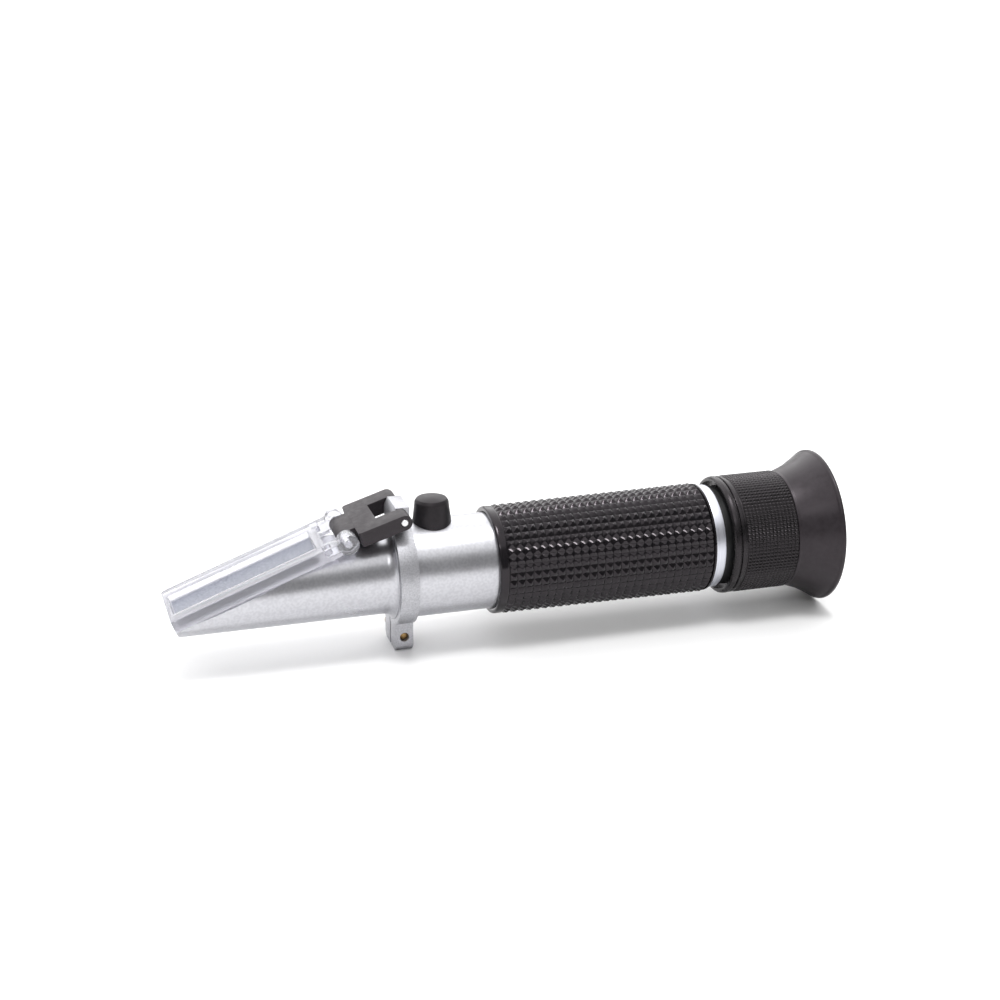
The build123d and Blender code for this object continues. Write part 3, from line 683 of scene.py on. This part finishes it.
black_anodised = Finish("black anodising", (0.018, 0.018, 0.019), 0.38, 0.4)
lathe_marks = black_anodised.noise(1600, 3, 0.6, (1, 0.02, 0.02))
black_anodised.gloss(black_anodised.spread(lathe_marks, 0.3, 0.7, 0.30, 0.46))
black_marks = black_anodised.spread(lathe_marks, 0.3, 0.7, 0, 1)
black_anodised.tint(black_marks, (0.012, 0.012, 0.013), (0.027, 0.027, 0.028))
black_anodised.relief(lathe_marks, 0.12, 0.00003)

lens_glass = Finish("polished optical glass", (0.96, 0.97, 0.99), 0.02)
lens_glass.clear(1.0, 1.52)
lens_glass.gloss(lens_glass.spread(lens_glass.noise(900, 3), 0.3, 0.7, 0.005, 0.03))
lens_glass.coat(0.3, 0.02)


def finish_nodes(material, *names):
    """Give the CAD nodes that show as they are their material."""
    for name in names:
        mesh = nodes[name].data
        mesh.materials.clear()
        mesh.materials.append(material)
        for face in mesh.polygons:
            face.material_index = 0


finish_nodes(
    black_anodised.material,
    "eyepiece_mount", "lens_tube", "lens_spacer", "eye_lens_retainer", "guide_ring", "front_baffle",
    "rear_baffle", "reticle_cell", "reticle_retainer",
)
finish_nodes(
    brass_metal.material, "calibration_bush", "calibration_screw", "objective_cell", "objective_retainer"
)
finish_nodes(steel_metal.material, "guide_pin", "focus_clip")
finish_nodes(lens_glass.material, "objective_crown", "objective_flint", "reticle", "field_lens", "eye_lens")


# ---------------------------------------------------------------------------------------------------------
# Studio: a wide white table under a soft sky that is bright overhead and dim near the horizon, with a
# lamp in the ceiling for the shadow and a narrow strip light in front.

table_half = 40
table_mesh = bpy.data.meshes.new("table")
table_corners = [(x * table_half, y * table_half, 0) for x, y in ((-1, -1), (1, -1), (1, 1), (-1, 1))]
table_mesh.from_pydata(table_corners, [], [(0, 1, 2, 3)])
table = placed("table", table_mesh)
table_finish = Finish("white table", (0.93, 0.93, 0.93), 0.6)
paper = table_finish.noise(900, 3)
table_finish.tint(table_finish.spread(paper, 0.3, 0.7, 0, 1), (0.925, 0.925, 0.925), (0.935, 0.935, 0.935))
table_mesh.materials.append(table_finish.material)

horizon_glow, overhead_glow = 0.2, 1.2
far_side_gain = 2.2
far_side_lean = 0.30
world = bpy.data.worlds.new("studio")
world.use_nodes = True
sky = world.node_tree
spot = sky.nodes.new("ShaderNodeTexCoord").outputs["Generated"]
parts = wired(sky, "ShaderNodeSeparateXYZ", Vector=spot).outputs
lean = sky.nodes.new("ShaderNodeMath")
lean.operation = "MULTIPLY_ADD"
lean.inputs[1].default_value = far_side_lean
sky.links.new(parts["Y"], lean.inputs[0])
sky.links.new(parts["Z"], lean.inputs[2])
edge = wired(
    sky, "ShaderNodeMapRange",
    From_Min=0.36, From_Max=0.56, To_Min=horizon_glow, To_Max=overhead_glow, Value=lean.outputs[0],
)
edge.interpolation_type = "SMOOTHSTEP"
behind = wired(
    sky, "ShaderNodeMapRange", From_Min=0.1, From_Max=1.0, To_Min=1.0, To_Max=far_side_gain, Value=parts["Y"]
)
total = sky.nodes.new("ShaderNodeMath")
total.operation = "MULTIPLY"
sky.links.new(edge.outputs["Result"], total.inputs[0])
sky.links.new(behind.outputs["Result"], total.inputs[1])
sky.nodes["Background"].inputs["Color"].default_value = (1, 1, 1, 1)
sky.links.new(total.outputs[0], sky.nodes["Background"].inputs["Strength"])
bpy.context.scene.world = world


def aimed(thing, place, sight):
    """Stand a lamp or a camera at a place, and turn it to look along a line."""
    thing.location = place
    thing.rotation_mode = "QUATERNION"
    thing.rotation_quaternion = sight.to_track_quat("-Z", "Y")


strip_place = Vector((-0.25, -0.55, 0.62))
strip_data = bpy.data.lights.new("front strip", "AREA")
strip_data.shape = "RECTANGLE"
strip_data.size, strip_data.size_y = 0.30, 0.05
strip_data.energy = 0.5
aimed(placed("front strip", strip_data), strip_place, Vector((0, 0, axis_z)) - strip_place)

ceiling_data = bpy.data.lights.new("ceiling lamp", "SUN")
ceiling_data.energy = 1.35
ceiling_data.angle = math.radians(18)
aimed(placed("ceiling lamp", ceiling_data), Vector((0, 0, 0)), Vector((-0.02, 0.10, -1.0)))

camera_turn = math.radians(16.5)
camera_lift = math.radians(20.1)
camera_distance = 532.2 * mm
aim_right = 3.85 * mm
aim_up = 16.75 * mm
waist = Vector((barrel_low.x + 28.0 * mm, 0, axis_z))
sight = Vector((
    math.sin(camera_turn) * math.cos(camera_lift),
    math.cos(camera_turn) * math.cos(camera_lift),
    -math.sin(camera_lift),
))
right = Vector((math.cos(camera_turn), -math.sin(camera_turn), 0))
aim_point = waist + right * aim_right + right.cross(sight) * aim_up
camera_data = bpy.data.cameras.new("camera")
camera_data.lens = 68.4
camera_data.sensor_width = 36.0
camera_data.clip_start = 0.01
camera_data.clip_end = 100
camera = placed("camera", camera_data)
aimed(camera, aim_point - sight * camera_distance, sight)
bpy.context.scene.camera = camera
bpy.context.scene.view_settings.view_transform = "Standard"
